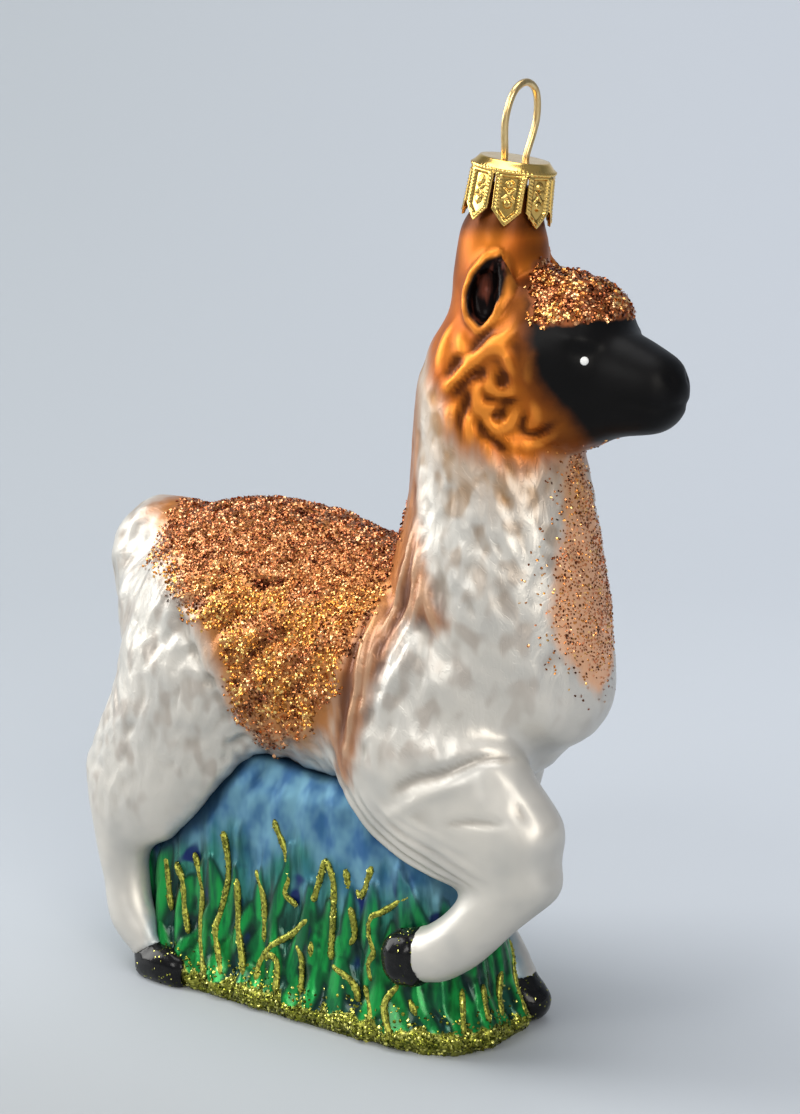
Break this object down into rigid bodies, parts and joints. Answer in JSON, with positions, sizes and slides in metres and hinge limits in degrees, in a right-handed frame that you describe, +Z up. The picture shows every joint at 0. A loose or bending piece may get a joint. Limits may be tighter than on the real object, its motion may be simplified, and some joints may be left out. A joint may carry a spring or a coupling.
{
  "type": "glass llama ornament",
  "caption": "Mould-blown glass hanging ornament: a striding llama over a mound of grass, foreleg raised, with silvered and glittered paint, a stamped gold cap and a wire hanger loop",
  "frame": {"origin": "middle of the flat underside of the grass mound, on the surface that the ornament stands on", "axes": "+X the way the llama faces, +Y its left side, +Z up, towards the cap and the hanger loop"},
  "size_m": [0.0912, 0.0331, 0.1224],
  "materials": {
    "pearl_glass": "silvered glass under pearl lacquer, with apricot airbrush",
    "amber_glass": "silvered glass under translucent amber lacquer, black face",
    "black_gloss": "glossy black enamel paint with a few gold glitter specks",
    "painted_grass": "silvered glass under blue, teal and green lacquer",
    "gold_cap": "bright stamped thin sheet, gold coloured",
    "hanger_wire": "drawn wire, satin",
    "white_dot": "white paint dot",
    "copper_glitter": "copper glitter flakes in clear glue",
    "gold_green_glitter": "yellow-green glitter flakes in clear glue"
  },
  "bodies": {
    "root": {"trunk": "pearl_glass", "neck": "pearl_glass", "head": "amber_glass", "glass_stub": "amber_glass", "tail": "pearl_glass", "ear_right": "amber_glass", "ear_left": "amber_glass", "eye_dot_right": "white_dot", "eye_dot_left": "white_dot", "foreleg_right": "pearl_glass", "foreleg_left": "pearl_glass", "hind_leg_right": "pearl_glass", "hind_leg_left": "pearl_glass", "fore_hoof_right": "black_gloss", "fore_hoof_left": "black_gloss", "hind_hoof_right": "black_gloss", "hind_hoof_left": "black_gloss", "grass_mound": "painted_grass", "cap": "gold_cap", "hanger_loop": "hanger_wire"}
  },
  "joints": []
}
